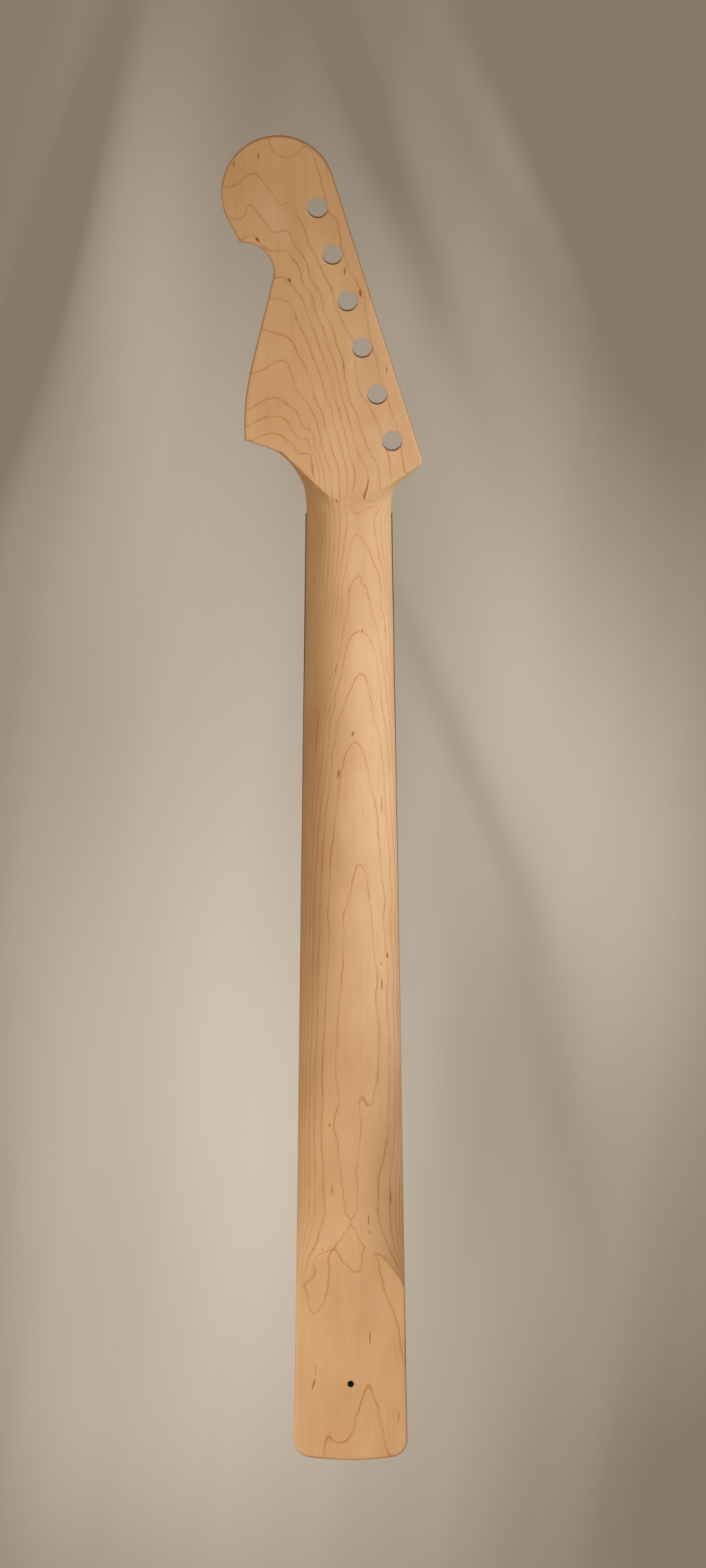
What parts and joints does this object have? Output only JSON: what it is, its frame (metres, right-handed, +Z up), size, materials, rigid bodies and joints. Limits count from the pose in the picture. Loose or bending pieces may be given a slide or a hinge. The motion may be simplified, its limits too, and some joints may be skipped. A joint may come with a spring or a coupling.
{
  "type": "electric guitar neck",
  "caption": "Bolt-on maple guitar neck with a fretted rosewood board, in-line headstock with open tuner holes, and a truss rod adjusted at the heel.",
  "frame": {"origin": "centre of the neck plate's place on the flat back of the heel, on the centreline", "axes": "+Z up the neck towards the headstock, -Y out of the back, +Y out of the fingerboard, +X towards the bass side and the tuner holes"},
  "size_m": [0.099, 0.0273, 0.6578],
  "materials": {
    "maple": "bare, fine-sanded",
    "rosewood": "oiled",
    "nickel_silver": "polished",
    "bone": "satin",
    "clay": "satin",
    "steel": "plain",
    "brass": "turned"
  },
  "bodies": {
    "neck": {"maple_neck": "maple", "fingerboard": "rosewood", "string_nut": "bone", "fret_01": "nickel_silver", "fret_02": "nickel_silver", "fret_03": "nickel_silver", "fret_04": "nickel_silver", "fret_05": "nickel_silver", "fret_06": "nickel_silver", "fret_07": "nickel_silver", "fret_08": "nickel_silver", "fret_09": "nickel_silver", "fret_10": "nickel_silver", "fret_11": "nickel_silver", "fret_12": "nickel_silver", "fret_13": "nickel_silver", "fret_14": "nickel_silver", "fret_15": "nickel_silver", "fret_16": "nickel_silver", "fret_17": "nickel_silver", "fret_18": "nickel_silver", "fret_19": "nickel_silver", "fret_20": "nickel_silver", "fret_21": "nickel_silver", "face_dot_03": "clay", "face_dot_05": "clay", "face_dot_07": "clay", "face_dot_09": "clay", "face_dot_12_a": "clay", "face_dot_12_b": "clay", "face_dot_15": "clay", "face_dot_17": "clay", "face_dot_19": "clay", "face_dot_21": "clay", "side_dot_03": "clay", "side_dot_05": "clay", "side_dot_07": "clay", "side_dot_09": "clay", "side_dot_12_a": "clay", "side_dot_12_b": "clay", "side_dot_15": "clay", "side_dot_17": "clay", "side_dot_19": "clay", "side_dot_21": "clay", "truss_rod": "steel", "truss_rod_filler_strip": "maple", "truss_rod_anchor": "steel", "truss_rod_washer": "steel"},
    "adjuster": {"truss_rod_adjuster": "brass"}
  },
  "joints": [
    {"name": "adjuster_turn", "type": "hinge", "parent": "neck", "child": "adjuster", "pos_m": [0, 0.01307, -0.0398], "axis": [0, 0.0341, -0.9994], "range_deg": [-405, 405]}
  ]
}
